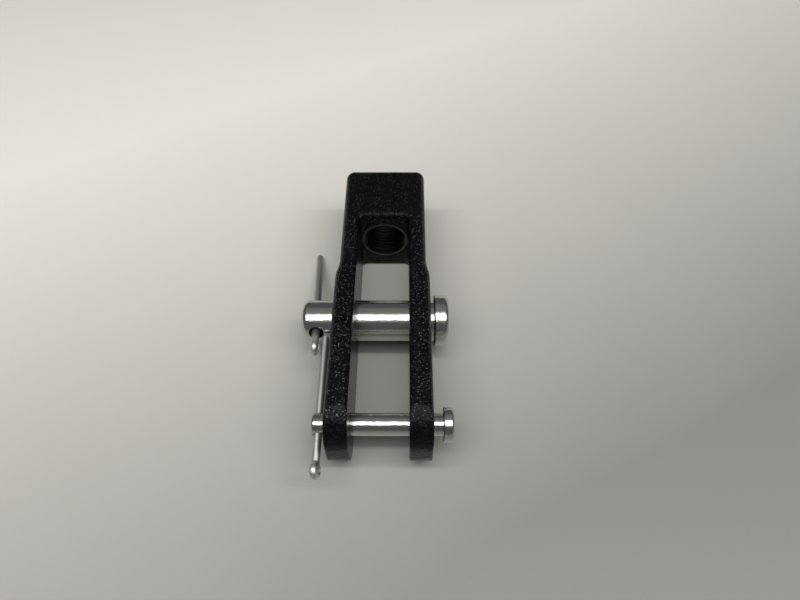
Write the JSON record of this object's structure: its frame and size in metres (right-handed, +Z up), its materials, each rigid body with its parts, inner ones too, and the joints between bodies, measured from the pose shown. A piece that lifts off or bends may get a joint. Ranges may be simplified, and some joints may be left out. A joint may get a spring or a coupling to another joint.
{
  "type": "clevis rod end",
  "caption": "Clevis rod end: black painted forked yoke with a threaded rod bore, a headed clevis pin and a slimmer headed link pin of zinc-plated steel, held by split cotters.",
  "frame": {"origin": "middle of the clevis pin, halfway between the ears, where the rod's axis crosses the pin's", "axes": "+X along both pins towards their heads, +Y along the rod bore away from the fork, +Z up from the table that the part lies on"},
  "size_m": [0.0454, 0.1057, 0.0254],
  "materials": {
    "black_paint": "gloss black paint over rough casting",
    "bright_zinc": "bright zinc plate on turned steel",
    "grey_zinc": "dull zinc plate on drawn wire"
  },
  "bodies": {
    "clevis_yoke": {"clevis_yoke": "black_paint"},
    "clevis_pin": {"clevis_pin": "bright_zinc", "clevis_pin_cotter": "grey_zinc"},
    "link_pin": {"link_pin": "bright_zinc", "link_pin_cotter": "grey_zinc"}
  },
  "joints": [
    {"name": "clevis_pin_turn", "type": "hinge", "parent": "clevis_yoke", "child": "clevis_pin", "pos_m": [0, 0, 0], "axis": [1, 0, 0], "continuous": true},
    {"name": "link_pin_turn", "type": "hinge", "parent": "clevis_yoke", "child": "link_pin", "pos_m": [0, -0.03492, 0], "axis": [1, 0, 0], "continuous": true}
  ]
}
